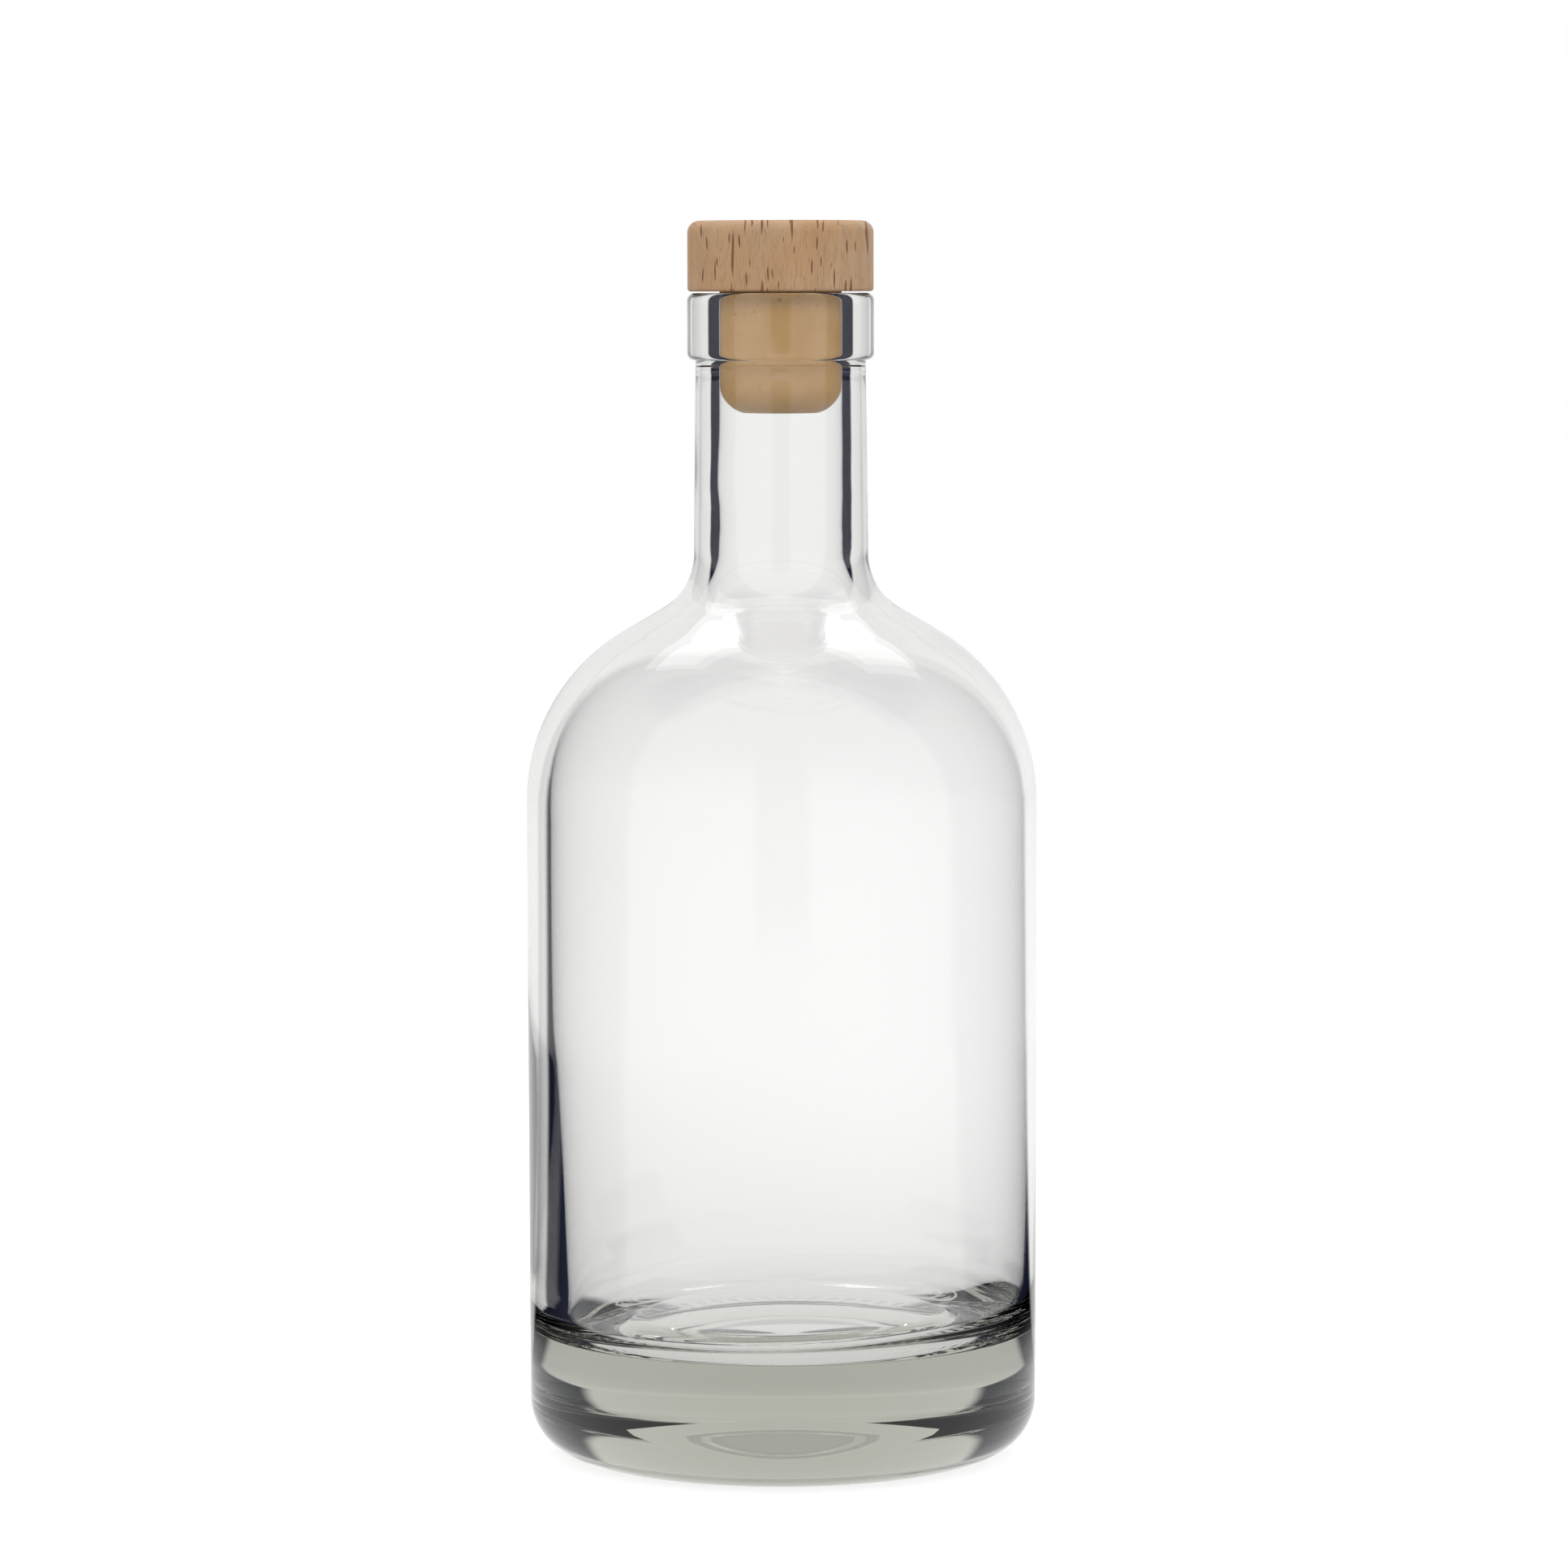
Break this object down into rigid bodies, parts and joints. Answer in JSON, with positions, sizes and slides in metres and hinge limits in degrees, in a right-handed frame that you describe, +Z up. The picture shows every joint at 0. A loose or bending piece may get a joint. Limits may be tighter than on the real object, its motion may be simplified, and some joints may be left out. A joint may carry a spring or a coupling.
{
  "type": "glass bottle",
  "caption": "Clear glass bottle with a heavy base, round shoulder and short neck, closed by a push-in stopper with a turned wooden head.",
  "frame": {"origin": "on the bottle's axis, in the plane that its foot stands on", "axes": "+Z up along the bottle's axis, towards the mouth; the bottle is round, so +X and +Y are any two directions across it"},
  "size_m": [0.082, 0.082, 0.1984],
  "materials": {
    "clear_glass": "clear and glossy, with a faint green tint in the thick base",
    "beech": "sanded and unvarnished, with short dark ray flecks",
    "tan_elastomer": "satin"
  },
  "bodies": {
    "bottle": {"bottle": "clear_glass"},
    "stopper": {"stopper_head": "beech", "stopper_plug": "tan_elastomer"}
  },
  "joints": [
    {"name": "stopper_lift", "type": "slide", "parent": "bottle", "child": "stopper", "axis": [0, 0, 1], "range_m": [0, 0.04]}
  ]
}
